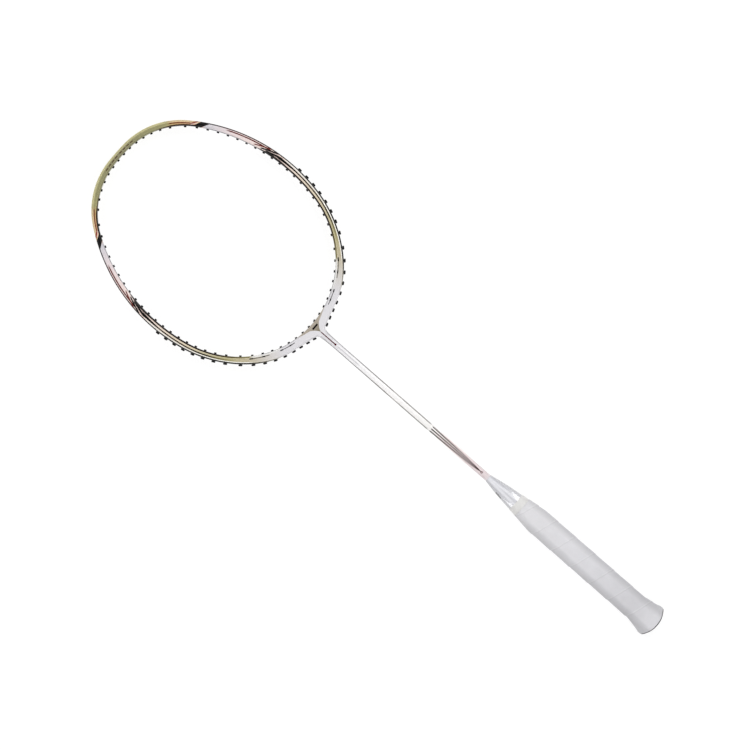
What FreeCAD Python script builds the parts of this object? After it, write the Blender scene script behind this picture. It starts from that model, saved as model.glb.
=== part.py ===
"""Unstrung badminton racket: a hollow one-piece head frame on a slim shaft, with a cone, an octagonal
handle and its grip, and a nylon grommet in every string hole.

Frame: millimetres, origin at the middle of the butt's flat pad, +Y along the shaft to the head's tip,
+X across the head, +Z square to the string plane. The racket lies flat.
"""
import FreeCAD, Part
import math
import os

import Sketcher
from FreeCAD import Placement, Rotation, Vector

SIZES = {
    # Head frame, outer edge, from the tip to the straight flank of the throat.
    # Each arc turns on from the one before: radius, then the angle it turns.
    "overall_length": 675.0,
    "outer_tip_radius": 302.0,
    "outer_tip_turn": 1.8,
    "outer_shoulder_radius": 74.5,
    "outer_shoulder_turn": 51.2,
    "outer_side_radius": 171.5,
    "outer_side_turn": 47.7,
    "outer_lower_radius": 121.0,
    "outer_lower_turn": 32.6,
    "outer_heel_radius": 85.6,
    "outer_heel_turn": 30.0,
    # Head frame, inner edge, from the tip round to the throat.
    "inner_tip_y": 668.95,
    "inner_tip_radius": 138.2,
    "inner_tip_turn": 5.12,
    "inner_shoulder_radius": 73.31,
    "inner_shoulder_turn": 53.09,
    "inner_side_radius": 173.81,
    "inner_side_turn": 43.29,
    "inner_lower_radius": 102.9,
    "inner_lower_turn": 27.53,
    # Head frame, section.
    "frame_height": 10.5,
    "frame_edge_radius": 2.2,
    "frame_wall": 1.1,
    "groove_depth": 0.9,
    "groove_width": 3.4,
    "groove_start_turn": 91.0,
    "glue_gap": 0.05,
    # Neck of the head frame, where the throat narrows to the shaft.
    "neck_end_y": 398.0,
    "neck_waist_y": 411.0,
    "neck_waist_radius": 3.75,
    "neck_waist_rise": 0.15,
    "neck_root_radius": 4.5,
    "neck_root_recess": 0.35,
    "neck_root_depth": 5.0,
    "neck_flare_radius": 4.0,
    # T joint inside the throat.
    "arm_reach": 30.0,
    "stem_length": 40.0,
    "stem_bore_depth": 24.0,
    # String holes and grommets.
    "main_first_x": 4.0,
    "main_pitch": 7.93,
    "throat_main_pairs": 9.0,
    "tip_main_pairs": 7.0,
    "fan_first_angle": 23.6,
    "fan_angle_step": 1.9,
    "fan_pairs": 4.0,
    "cross_first_y": 471.35,
    "cross_last_y": 642.65,
    "cross_pairs": 20.0,
    "proud_side_pairs": 8.0,
    "hole_radius": 1.25,
    "barrel_radius": 1.2,
    "string_bore_radius": 0.7,
    "barrel_reach": 1.3,
    "throat_head_lift": 0.15,
    "side_head_lift": 0.1,
    "proud_head_radius": 1.95,
    "proud_head_height": 1.6,
    "sunk_head_radius": 1.5,
    "sunk_head_height": 0.7,
    # Shaft.
    "shaft_radius": 3.5,
    "shaft_bore_radius": 2.5,
    "shaft_seat_y": 95.0,
    # Cone.
    "cone_wall": 1.0,
    "cone_base_y": 150.0,
    "cone_base_radius": 10.4,
    "cone_band_y": 168.0,
    "cone_band_radius": 9.6,
    "cone_mid_y": 192.0,
    "cone_mid_radius": 6.95,
    "cone_tip_y": 209.5,
    "cone_tip_radius": 3.85,
    "cone_lip": 0.7,
    # Finishing tape round the cone.
    "band_top_y": 176.0,
    "band_thickness": 0.45,
    # Handle, grip and butt. Widths run across the flats in X and thicknesses in Z.
    "core_width": 22.1,
    "core_thickness": 20.1,
    "core_top_y": 186.0,
    "core_gap": 0.05,
    "grip_thickness": 1.7,
    "grip_top_width": 20.9,
    "grip_top_thickness": 20.5,
    "grip_full_y": 149.0,
    "flare_top_y": 26.0,
    "flare_end_y": 5.5,
    "flare_width": 32.6,
    "flare_thickness": 30.4,
    "butt_radius": 28.0,
    "butt_cap_thickness": 0.8,
    "butt_cap_inset": 0.35,
    "butt_pad_radius": 6.0,
    "butt_pad_height": 0.5,
}

doc = FreeCAD.newDocument("badminton_racket")
sheet = doc.addObject("Spreadsheet::Sheet", "Sizes")
for row, (alias, value) in enumerate(SIZES.items(), start=1):
    sheet.set(f"A{row}", alias)
    sheet.set(f"B{row}", str(value))
    sheet.setAlias(f"B{row}", alias)
doc.recompute()


def size(alias):
    """The value of one cell of the sheet."""
    return float(sheet.get(alias))


def count(alias):
    return int(round(size(alias)))


# ---------------------------------------------------------------- outlines of the head, as tangent arcs

OUTER = ("tip", "shoulder", "side", "lower", "heel")
INNER = ("tip", "shoulder", "side", "lower", "throat")


def arc_chain(edge, names, start_y, grow=0.0):
    """Arcs of one edge's right half, from the tip down: (centre, radius, heading at start, heading at end).

    A heading is the clockwise angle from +X of the direction of travel. The throat arc's radius is the one
    that closes the edge square to the axis. grow moves the whole edge outwards.
    """
    heading = 0.0
    point = Vector(0, start_y, 0)
    chain = []
    for name in names:
        if name == "throat":
            turn = math.pi - heading
            radius = point.x / math.sin(heading)
        else:
            turn = math.radians(size(f"{edge}_{name}_turn"))
            radius = size(f"{edge}_{name}_radius")
        centre = point - outward(heading) * radius
        chain.append((centre, radius + grow, heading, heading + turn))
        heading += turn
        point = centre + outward(heading) * radius
    return chain


def outward(heading):
    """Unit normal pointing out of the head where the edge travels at this heading."""
    return Vector(math.sin(heading), math.cos(heading), 0)


def arc_end(arc):
    centre, radius, _, heading = arc
    return centre + outward(heading) * radius


def outer_chain(grow=0.0):
    return arc_chain("outer", OUTER, size("overall_length"), grow)


def inner_chain(grow=0.0):
    return arc_chain("inner", INNER, size("inner_tip_y"), grow)


def flank_apex(chain):
    """Where the straight flank, which carries on from the heel arc, meets the axis."""
    start = arc_end(chain[-1])
    heading = chain[-1][3]
    return Vector(0, start.y - start.x / math.tan(heading - math.pi / 2), 0)


def arc_curves(chain):
    """Both halves of a chain as circle arcs, the right half from the tip down, then the left."""
    curves = []
    for mirror in (1, -1):
        for centre, radius, start, end in chain:
            circle = Part.Circle(Vector(mirror * centre.x, centre.y, 0), Vector(0, 0, 1), radius)
            high = math.pi / 2 - start
            low = math.pi / 2 - end
            if mirror < 0:
                low, high = math.pi - high, math.pi - low
            curves.append(Part.ArcOfCircle(circle, low, high))
    return curves


def outer_curves(grow=0.0):
    """The closed outer edge: arcs, and the two straight flanks down to a point on the axis."""
    chain = outer_chain(grow)
    heel = arc_end(chain[-1])
    apex = flank_apex(chain)
    flanks = [Part.LineSegment(heel, apex), Part.LineSegment(Vector(-heel.x, heel.y, 0), apex)]
    return arc_curves(chain) + flanks


# ---------------------------------------------------------------- helpers for bodies and sketches


def origin_plane(body, role):
    return next(feature for feature in body.Origin.OriginFeatures if feature.Role == role)


def new_body(label):
    body = doc.addObject("PartDesign::Body", label)
    body.Label = label
    return body


def new_sketch(body, name, role="XY_Plane", offset=0.0, expression=None):
    """A sketch on one of the body's own origin planes, moved off it along the plane's normal."""
    sketch = body.newObject("Sketcher::SketchObject", name)
    sketch.AttachmentSupport = (origin_plane(body, role), [""])
    sketch.MapMode = "FlatFace"
    sketch.AttachmentOffset = Placement(Vector(0, 0, offset), Rotation())
    if expression:
        sketch.setExpression("AttachmentOffset.Base.z", expression)
    return sketch


def add_polygon(sketch, points):
    """A closed polygon of (x, y) points in the sketch."""
    first = sketch.GeometryCount
    for start, end in zip(points, points[1:] + points[:1]):
        sketch.addGeometry(Part.LineSegment(Vector(*start, 0), Vector(*end, 0)), False)
    last = sketch.GeometryCount - 1
    for index in range(first, last):
        sketch.addConstraint(Sketcher.Constraint("Coincident", index, 2, index + 1, 1))
    sketch.addConstraint(Sketcher.Constraint("Coincident", last, 2, first, 1))


def add_circle(sketch, radius_expression, radius):
    """A circle on the sketch's origin with its radius bound to the sheet."""
    index = sketch.addGeometry(Part.Circle(Vector(), Vector(0, 0, 1), radius), False)
    sketch.addConstraint(Sketcher.Constraint("Coincident", index, 3, -1, 1))
    constraint = sketch.addConstraint(Sketcher.Constraint("Radius", index, radius))
    sketch.setExpression(f"Constraints[{constraint}]", radius_expression)


def pad(body, name, sketch, expression, midplane=False, reverse=False):
    feature = body.newObject("PartDesign::Pad", name)
    feature.Profile = sketch
    feature.setExpression("Length", expression)
    if midplane:
        feature.SideType = "Symmetric"
    feature.Reversed = reverse
    return feature


def pocket(body, name, sketch, expression, midplane=False, reverse=False):
    """Cut a sketch's region out of the body, and stop if nothing was cut."""
    doc.recompute()
    before = body.Shape.Volume
    feature = body.newObject("PartDesign::Pocket", name)
    feature.Profile = sketch
    feature.setExpression("Length", expression)
    if midplane:
        feature.SideType = "Symmetric"
    feature.Reversed = reverse
    doc.recompute()
    assert body.Shape.Volume < before - 0.01, f"{name} cut nothing"
    return feature


def revolve(body, name, sketch):
    """Turn a sketch in the XY plane about the racket's axis."""
    feature = body.newObject("PartDesign::Revolution", name)
    feature.Profile = sketch
    feature.ReferenceAxis = (sketch, ["V_Axis"])
    feature.Angle = 360
    return feature


def loft(body, kind, name, sketches):
    feature = body.newObject(f"PartDesign::{kind}Loft", name)
    feature.Profile = sketches[0]
    feature.Sections = sketches[1:]
    feature.Ruled = True
    return feature


# ---------------------------------------------------------------- head frame


def arcs_down_to(chain, heading_limit):
    """The arcs of a chain down to a heading, the last one cut short there."""
    kept = []
    for centre, radius, start, end in chain:
        if start >= heading_limit:
            break
        kept.append((centre, radius, start, min(end, heading_limit)))
    return kept


def groove_sketch(body):
    """A thin crescent over the upper outer edge, a little wider than the groove is deep."""
    limit = math.radians(size("groove_start_turn"))
    overhang = 1.0
    floor = arcs_down_to(outer_chain(-size("groove_depth")), limit)
    above = arcs_down_to(outer_chain(overhang), limit)
    sketch = new_sketch(body, "groove_outline")
    for curve in arc_curves(floor) + arc_curves(above):
        sketch.addGeometry(curve, False)
    for mirror in (1, -1):
        low, high = arc_end(floor[-1]), arc_end(above[-1])
        segment = Part.LineSegment(Vector(mirror * low.x, low.y, 0), Vector(mirror * high.x, high.y, 0))
        sketch.addGeometry(segment, False)
    return sketch


def neck_sections():
    """(y, half width, half thickness) down the neck, from inside the throat to its end on the shaft.

    The flare is a concave arc that leaves the neck along Y and meets the straight flank tangentially.
    """
    flare = size("neck_flare_radius")
    chain = outer_chain()
    slope = chain[-1][3] - math.pi / 2
    root_width = size("neck_root_radius")
    apex_y = flank_apex(chain).y
    # The flare's centre lies one radius outside the flank and one radius outside the neck.
    centre_x = root_width + flare
    centre_y = apex_y + centre_x / math.tan(slope) - flare / math.sin(slope)
    half_height = size("frame_height") / 2
    sections = [(size("neck_end_y"), size("shaft_radius"), size("shaft_radius"))]
    waist = size("neck_waist_radius")
    waist_thickness = waist + size("neck_waist_rise")
    root_rise = half_height - size("neck_root_recess") - waist
    sections.append((size("neck_waist_y"), waist, waist_thickness))
    steps = 7
    for step in range(steps + 1):
        angle = slope * step / steps
        width = centre_x - flare * math.cos(angle)
        y = centre_y + flare * math.sin(angle)
        blend = (y - size("neck_waist_y")) / (centre_y + flare - size("neck_waist_y"))
        thickness = waist_thickness + root_rise * math.sqrt(blend)
        sections.append((y, width, thickness))
    sections.append((y + size("neck_root_depth"), width, thickness))
    return sections


def head_body():
    body = new_body("head_frame_moulding")
    outline = new_sketch(body, "hoop_outline")
    for curve in outer_curves() + arc_curves(inner_chain()):
        outline.addGeometry(curve, False)
    hoop = pad(body, "hoop", outline, "Sizes.frame_height", midplane=True)
    doc.recompute()
    rim = size("frame_height") / 2
    edges = []
    for index, edge in enumerate(hoop.Shape.Edges, start=1):
        box = edge.BoundBox
        if abs(abs(box.ZMin) - rim) < 1e-6 and abs(box.ZMax - box.ZMin) < 1e-6:
            edges.append(f"Edge{index}")
    rounding = body.newObject("PartDesign::Fillet", "hoop_rounding")
    rounding.Base = (hoop, edges)
    rounding.setExpression("Radius", "Sizes.frame_edge_radius")
    doc.recompute()

    sections = []
    for number, (y, width, thickness) in enumerate(neck_sections()):
        section = new_sketch(body, f"neck_section_{number}", "XZ_Plane", -y)
        points = [Vector(width * math.cos(a), thickness * math.sin(a), 0) for a in circle_angles(12)]
        curve = Part.BSplineCurve()
        curve.interpolate(points, PeriodicFlag=True)
        section.addGeometry(curve, False)
        sections.append(section)
    loft(body, "Additive", "neck", sections)
    doc.recompute()

    cavity = new_sketch(body, "cavity_outline")
    for curve in cavity_curves(0.0):
        cavity.addGeometry(curve, False)
    pocket(body, "cavity", cavity, "Sizes.frame_height - 2 * Sizes.frame_wall", midplane=True)
    pocket(body, "groove", groove_sketch(body), "Sizes.groove_width", midplane=True)

    bore = new_sketch(body, "stem_bore_outline", "XZ_Plane", -size("neck_end_y"), "-Sizes.neck_end_y")
    add_circle(bore, "Sizes.shaft_bore_radius", size("shaft_bore_radius"))
    pocket(body, "stem_bore", bore, "Sizes.stem_bore_depth")
    return body


def circle_angles(steps):
    return [2 * math.pi * step / steps for step in range(steps)]


def cavity_curves(gap):
    """The hollow of the hoop, or a piece that fits it with a gap all round."""
    inset = size("frame_wall") + size("groove_depth") + gap
    return outer_curves(-inset) + arc_curves(inner_chain(size("frame_wall") + gap))


# ---------------------------------------------------------------- string holes and grommets


def at_x(chain, x, top):
    """Heading of an inner edge's point at this x, on the tip side or the throat side."""
    for centre, radius, start, end in chain:
        offset = (x - centre.x) / radius
        if abs(offset) > 1:
            continue
        heading = math.asin(offset) if top else math.pi - math.asin(offset)
        if start <= heading <= end:
            return centre + outward(heading) * radius, heading
    raise ValueError(f"no edge at x {x}")


def at_y(chain, y):
    for centre, radius, start, end in chain:
        offset = (y - centre.y) / radius
        if abs(offset) > 1:
            continue
        heading = math.acos(offset)
        if start <= heading <= end:
            return centre + outward(heading) * radius, heading
    raise ValueError(f"no edge at y {y}")


def wall_length(start, direction):
    """Distance from a point on the inner edge to the outer edge, along a direction."""
    chain = outer_chain()
    for centre, radius, first, last in chain:
        to_centre = centre - start
        along = to_centre.dot(direction)
        inside = radius ** 2 - to_centre.dot(to_centre) + along ** 2
        if inside < 0:
            continue
        reach = along + math.sqrt(inside)
        spoke = start + direction * reach - centre
        heading = math.atan2(spoke.x, spoke.y)
        if first <= heading <= last:
            return reach
    normal = outward(chain[-1][3])
    return (arc_end(chain[-1]) - start).dot(normal) / direction.dot(normal)


def grommet_places():
    """Every right-hand grommet: (node name, point on the inner edge, outward direction, lift, proud)."""
    chain = inner_chain()
    flank_heading = outer_chain()[-1][3]
    places = []
    for number in range(count("throat_main_pairs")):
        x = size("main_first_x") + size("main_pitch") * number
        point, heading = at_x(chain, x, top=False)
        if number < count("fan_pairs"):
            heading = math.pi - math.radians(size("fan_first_angle") - size("fan_angle_step") * number)
            lift = size("proud_head_radius") * math.tan(abs(heading - flank_heading))
        else:
            lift = size("throat_head_lift")
        places.append((f"throat_grommet_pair_{number + 1}", point, outward(heading), lift, True))
    pitch = (size("cross_last_y") - size("cross_first_y")) / (count("cross_pairs") - 1)
    lift = size("side_head_lift")
    for number in range(count("cross_pairs")):
        point, heading = at_y(chain, size("cross_first_y") + pitch * number)
        proud = number < count("proud_side_pairs")
        places.append((f"side_grommet_pair_{number + 1}", point, outward(heading), lift, proud))
    for number in range(count("tip_main_pairs")):
        x = size("main_first_x") + size("main_pitch") * number
        point, heading = at_x(chain, x, top=True)
        places.append((f"tip_grommet_pair_{number + 1}", point, outward(heading), lift, False))
    return places


def cylinder(name, radius_expression, length, start, direction):
    """A Part cylinder with its radius bound to the sheet, from a point along a direction."""
    solid = doc.addObject("Part::Cylinder", name)
    solid.setExpression("Radius", radius_expression)
    solid.Height = length
    solid.Placement = Placement(start, Rotation(Vector(0, 0, 1), direction))
    return solid


def mirrored(name, source):
    """A copy on the other side of the racket's YZ plane."""
    copy = doc.addObject("Part::Mirroring", name)
    copy.Source = source
    copy.Normal = Vector(1, 0, 0)
    return copy


def grommet_pair(place):
    """One pair of grommets: a barrel through the wall and a head outside it, bored through."""
    name, inner_point, direction, lift, proud = place
    kind = "proud" if proud else "sunk"
    head_height = size(f"{kind}_head_height")
    seat = wall_length(inner_point, direction) + lift - (0.0 if proud else size("groove_depth"))
    start = inner_point - direction * size("barrel_reach")
    barrel_length = size("barrel_reach") + seat + head_height / 2
    barrel = cylinder(f"{name}_barrel", "Sizes.barrel_radius", barrel_length, start, direction)
    head = doc.addObject("Part::Cone", f"{name}_head")
    head.setExpression("Radius1", f"Sizes.{kind}_head_radius")
    head.setExpression("Radius2", f"Sizes.{kind}_head_radius * 0.8")
    head.setExpression("Height", f"Sizes.{kind}_head_height")
    head.Placement = Placement(inner_point + direction * seat, Rotation(Vector(0, 0, 1), direction))
    solid = doc.addObject("Part::Fuse", f"{name}_blank")
    solid.Base = barrel
    solid.Tool = head
    over = 1.0
    bore_length = barrel_length + head_height + 2 * over
    bore_start = start - direction * over
    bore = cylinder(f"{name}_bore", "Sizes.string_bore_radius", bore_length, bore_start, direction)
    right = doc.addObject("Part::Cut", f"{name}_right")
    right.Base = solid
    right.Tool = bore
    pair = doc.addObject("Part::Compound", name)
    pair.Label = name
    pair.Links = [right, mirrored(f"{name}_left", right)]
    return pair


def drill_set(name, places):
    """Every string hole's drill, as one compound to cut with."""
    drills = []
    over = 3.0
    for place_name, inner_point, direction, lift, _ in places:
        start = inner_point - direction * over
        length = wall_length(inner_point, direction) + lift + 2 * over
        drill = cylinder(f"{name}_{place_name}", "Sizes.hole_radius", length, start, direction)
        drills += [drill, mirrored(f"{name}_{place_name}_left", drill)]
    drill_compound = doc.addObject("Part::Compound", name)
    drill_compound.Links = drills
    return drill_compound


def drilled(label, body, drills):
    cut = doc.addObject("Part::Cut", label)
    cut.Label = label
    cut.Base = body
    cut.Tool = drills
    return cut


# ---------------------------------------------------------------- T joint


def t_joint_body():
    """Two arms that fill the hollow beside the axis, on a stem that runs down into the shaft."""
    body = new_body("t_joint_moulding")
    arms = new_sketch(body, "arm_outline")
    for curve in cavity_curves(size("glue_gap")):
        arms.addGeometry(curve, False)
    pad(body, "arms", arms, "Sizes.frame_height - 2 * Sizes.frame_wall - 2 * Sizes.glue_gap", midplane=True)
    trim = new_sketch(body, "trim_outline")
    reach = size("arm_reach")
    foot, shoulder = size("neck_end_y") + 2.0, size("neck_end_y") + 47.0
    side, tip = 120.0, size("overall_length") + 25.0
    add_polygon(trim, [(-reach, foot), (-reach, shoulder), (reach, shoulder), (reach, foot), (side, foot),
                       (side, tip), (-side, tip), (-side, foot)])
    pocket(body, "arm_trim", trim, "Sizes.frame_height", midplane=True)
    stem = new_sketch(body, "stem_outline", "XZ_Plane", -size("neck_end_y") + size("stem_length") / 2,
                      "-Sizes.neck_end_y + Sizes.stem_length / 2")
    stem_radius = size("shaft_bore_radius") - size("glue_gap")
    add_circle(stem, "Sizes.shaft_bore_radius - Sizes.glue_gap", stem_radius)
    pad(body, "stem", stem, "Sizes.stem_length / 2 + Sizes.stem_bore_depth", reverse=True)
    doc.recompute()
    return body


# ---------------------------------------------------------------- shaft, cone and finishing tape


def shaft():
    body = new_body("shaft")
    ring = new_sketch(body, "shaft_ring", "XZ_Plane", -size("shaft_seat_y"), "-Sizes.shaft_seat_y")
    add_circle(ring, "Sizes.shaft_radius", size("shaft_radius"))
    add_circle(ring, "Sizes.shaft_bore_radius", size("shaft_bore_radius"))
    pad(body, "tube", ring, "Sizes.neck_end_y - Sizes.shaft_seat_y", reverse=True)
    return body


def cone_outside():
    """(radius, y) of the cone's outer line from its base up to its tip."""
    names = ("base", "band", "mid", "tip")
    return [(size(f"cone_{name}_radius"), size(f"cone_{name}_y")) for name in names]


def cone_radius(y):
    """Outer radius of the cone at a height, along its straight stretches."""
    line = cone_outside()
    for (low_r, low_y), (high_r, high_y) in zip(line, line[1:]):
        if low_y <= y <= high_y:
            return low_r + (high_r - low_r) * (y - low_y) / (high_y - low_y)
    raise ValueError(f"the cone has no radius at y {y}")


def cone():
    body = new_body("cone")
    wall = size("cone_wall")
    hole = size("shaft_radius") + size("core_gap")
    outside = cone_outside()
    tip_y = size("cone_tip_y")
    inside = [(radius - wall, y) for radius, y in outside[:3]]
    collar_length = 8.1
    throat_y = tip_y + size("cone_lip") - collar_length
    profile = outside + [(hole, tip_y + size("cone_lip")), (hole, throat_y)] + inside[::-1]
    section = new_sketch(body, "cone_section")
    add_polygon(section, profile)
    revolve(body, "cone_shell", section)
    return body


def finishing_tape():
    """A thin ring on the cone that covers the top edge of the grip."""
    body = new_body("finishing_tape")
    low, high = size("cone_band_y"), size("band_top_y")
    gap = 0.02
    inner = [(cone_radius(low) + gap, low), (cone_radius(high) + gap, high)]
    outer = [(radius + size("band_thickness"), y) for radius, y in inner]
    section = new_sketch(body, "band_section")
    add_polygon(section, inner + outer[::-1])
    revolve(body, "band", section)
    return body


# ---------------------------------------------------------------- handle, grip and butt

# Blanks start this far below the butt and are cut back to its arch.
BLANK_START_Y = -2.0


def octagon(width, thickness):
    """Eight corners with equal diagonal facets, across flats width in X and thickness in Z."""
    corner = 0.4142 * min(width, thickness) / 2
    x, z = width / 2, thickness / 2
    cut = min(width, thickness) / 2 - corner
    return [(x, z - cut), (x - cut, z), (cut - x, z), (-x, z - cut),
            (-x, cut - z), (cut - x, -z), (x - cut, -z), (x, cut - z)]


def octagon_loft(body, kind, name, sections):
    """A ruled loft through octagons given as (y, width, thickness)."""
    sketches = []
    for number, (y, width, thickness) in enumerate(sections):
        sketch = new_sketch(body, f"{name}_section_{number}", "XZ_Plane", -y)
        add_polygon(sketch, octagon(width, thickness))
        sketches.append(sketch)
    return loft(body, kind, name, sketches)


def cut_to_arch(body, name, apex_y, far_y):
    """Cut away what lies between a shallow arch about the Z axis, with its apex at apex_y, and far_y."""
    radius = size("butt_radius") - (apex_y - size("butt_pad_height"))
    reach = 24.0
    angle = math.asin(reach / radius)
    corner_y = apex_y + radius * (1 - math.cos(angle))
    sketch = new_sketch(body, f"{name}_outline")
    arch = Part.Circle(Vector(0, apex_y + radius, 0), Vector(0, 0, 1), radius)
    sketch.addGeometry(Part.ArcOfCircle(arch, -math.pi / 2 - angle, -math.pi / 2 + angle), False)
    corners = [Vector(reach, corner_y, 0), Vector(reach, far_y, 0), Vector(-reach, far_y, 0),
               Vector(-reach, corner_y, 0)]
    for start, end in zip(corners, corners[1:]):
        sketch.addGeometry(Part.LineSegment(start, end), False)
    pocket(body, name, sketch, "4 * Sizes.flare_thickness", midplane=True)


def round_butt(body, apex_y):
    """Cut the butt end to its arch."""
    below_everything = -20.0
    cut_to_arch(body, f"{body.Name}_arch_cut", apex_y, below_everything)


def core_sections(extra_width):
    """Octagons of the handle from below the butt up to the cone, grown by extra_width all round."""
    width = size("core_width") + extra_width
    thickness = size("core_thickness") + extra_width
    skin = 2 * size("grip_thickness")
    flare_width = size("flare_width") - skin + extra_width
    flare_thickness = size("flare_thickness") - skin + extra_width
    return [
        (BLANK_START_Y, flare_width, flare_thickness),
        (size("flare_end_y"), flare_width, flare_thickness),
        (size("flare_top_y"), width, thickness),
        (size("cone_base_y"), width, thickness),
    ]


def handle_core():
    body = new_body("handle_core")
    octagon_loft(body, "Additive", "core", core_sections(0.0))
    doc.recompute()
    gap = size("core_gap")
    wall = size("cone_wall")
    top = size("core_top_y")
    neck = new_sketch(body, "core_neck_section")
    base_y, band_y = size("cone_base_y"), size("cone_band_y")
    inset = wall + gap
    foot_y = base_y - 1.0
    profile = [(0, foot_y), (cone_radius(base_y) - inset, foot_y), (cone_radius(base_y) - inset, base_y),
               (cone_radius(band_y) - inset, band_y), (cone_radius(top) - inset, top), (0, top)]
    add_polygon(neck, profile)
    revolve(body, "core_neck", neck)
    doc.recompute()
    seat = new_sketch(body, "shaft_seat_outline", "XZ_Plane", -size("shaft_seat_y"), "-Sizes.shaft_seat_y")
    add_circle(seat, "Sizes.shaft_radius + Sizes.core_gap", size("shaft_radius") + gap)
    pocket(body, "shaft_seat", seat, "Sizes.core_top_y - Sizes.shaft_seat_y + 1")
    round_butt(body, size("butt_pad_height") + size("butt_cap_thickness"))
    return body


def grip_tape():
    body = new_body("grip_tape")
    skin = 2 * size("grip_thickness")
    outside = core_sections(skin)[:3]
    outside += [(size("grip_full_y"), size("core_width") + skin, size("core_thickness") + skin),
                (size("cone_band_y"), size("grip_top_width"), size("grip_top_thickness"))]
    octagon_loft(body, "Additive", "grip", outside)
    doc.recompute()
    gap = 0.02
    inside = core_sections(gap)
    across = 2 * (cone_radius(size("cone_band_y")) + gap)
    over = 0.5
    inside[0] = (BLANK_START_Y - over, *inside[0][1:])
    inside += [(size("cone_band_y") + over, across, across)]
    octagon_loft(body, "Subtractive", "grip_hollow", inside)
    doc.recompute()
    round_butt(body, size("butt_pad_height") + size("butt_cap_thickness"))
    return body


def butt_cap():
    """A thin arched plate over the butt end, with a round flat pad in its middle."""
    body = new_body("butt_cap")
    inset = 2 * size("butt_cap_inset")
    width, thickness = size("flare_width") - inset, size("flare_thickness") - inset
    blank_end_y = 12.0
    blank = [(BLANK_START_Y, width, thickness), (blank_end_y, width, thickness)]
    octagon_loft(body, "Additive", "cap", blank)
    round_butt(body, size("butt_pad_height"))
    inner_y = size("butt_pad_height") + size("butt_cap_thickness")
    cut_to_arch(body, "cap_hollow", inner_y, 2 * blank_end_y)
    pad_outline = new_sketch(body, "pad_outline", "XZ_Plane", 0.0)
    add_circle(pad_outline, "Sizes.butt_pad_radius", size("butt_pad_radius"))
    pad(body, "pad", pad_outline, "Sizes.butt_pad_height + Sizes.butt_cap_thickness", reverse=True)
    doc.recompute()
    return body


# ---------------------------------------------------------------- build, check and write

places = grommet_places()
drills = drill_set("string_hole_drills", places)
head_frame = drilled("head_frame", head_body(), drills)
t_joint = drilled("t_joint", t_joint_body(), drills)
nodes = [head_frame, t_joint, shaft(), cone(), finishing_tape(), handle_core(), grip_tape(), butt_cap()]
nodes += [grommet_pair(place) for place in places]
doc.recompute()

for item in doc.Objects:
    if "Invalid" in item.State or "Error" in item.State:
        raise RuntimeError(f"{item.Name} failed: {item.State}")

os.makedirs("parts", exist_ok=True)
for node in nodes:
    shape = node.Shape
    if shape.isNull() or not shape.isValid():
        raise RuntimeError(f"{node.Label} has no valid shape")
    shape.exportStep(f"parts/{node.Label}.step")
    print(f"{node.Label}: {len(shape.Solids)} solid(s), {shape.Volume:.1f} mm3")
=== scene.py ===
"""Looks of an unstrung badminton racket: lacquered head frame, nylon grommets, printed shaft, glossy cone,
wrapped grip and butt cap.

Sizes in this script are in millimetres in the row frame; meshes are turned into metres as they are made.
"""

import math

import bpy
import bmesh
import numpy as np
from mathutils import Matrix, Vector


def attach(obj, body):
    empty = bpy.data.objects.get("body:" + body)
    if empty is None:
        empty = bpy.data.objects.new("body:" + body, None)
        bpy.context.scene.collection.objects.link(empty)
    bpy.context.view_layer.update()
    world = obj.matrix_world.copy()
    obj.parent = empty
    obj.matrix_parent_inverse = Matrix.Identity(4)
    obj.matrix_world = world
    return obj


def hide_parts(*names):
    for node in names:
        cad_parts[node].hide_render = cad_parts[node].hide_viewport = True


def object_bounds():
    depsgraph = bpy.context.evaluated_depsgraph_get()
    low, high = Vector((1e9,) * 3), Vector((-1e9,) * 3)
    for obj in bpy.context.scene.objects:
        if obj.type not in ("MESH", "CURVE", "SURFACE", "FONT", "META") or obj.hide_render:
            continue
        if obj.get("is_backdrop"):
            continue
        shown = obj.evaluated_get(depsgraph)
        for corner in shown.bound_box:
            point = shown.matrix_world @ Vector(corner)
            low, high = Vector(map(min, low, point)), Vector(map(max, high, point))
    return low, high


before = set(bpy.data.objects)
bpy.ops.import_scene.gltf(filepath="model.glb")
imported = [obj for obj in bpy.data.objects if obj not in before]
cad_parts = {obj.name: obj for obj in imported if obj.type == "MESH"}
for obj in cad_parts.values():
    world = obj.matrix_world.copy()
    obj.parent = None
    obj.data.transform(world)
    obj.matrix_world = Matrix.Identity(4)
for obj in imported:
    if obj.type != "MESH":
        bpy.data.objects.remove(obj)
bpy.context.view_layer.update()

MM = 0.001

# -------- sizes

OUTER_TOP = 675.0
OUTER_ARCS = ((302.0, 1.8), (74.5, 51.2), (171.5, 47.7), (121.0, 32.6), (85.6, 30.0))
INNER_TOP = 668.95
INNER_ARCS = ((138.2, 5.12), (73.31, 53.09), (173.81, 43.29), (102.9, 27.53))
HALF_HEIGHT = 5.25
EDGE_RADIUS = 2.2
GROOVE_DEPTH = 0.9
GROOVE_HALF_WIDTH = 1.7
GROOVE_CHAMFER = 0.1
GROOVE_LAST_HEADING = math.radians(91)
NECK_END_Y = 398.0
NECK_WAIST_Y = 411.0
NECK_WAIST_RADIUS = 3.75
NECK_ROOT_RADIUS = 4.5
NECK_EXTRA_HEIGHT = 0.15
NECK_ROOT_RISE = 1.15
FLARE_RADIUS = 4.0
SHAFT_RADIUS = 3.5
SHAFT_BORE = 2.5
SHAFT_SEAT_Y = 95.0
STEM_BORE_DEPTH = 24.0

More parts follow.
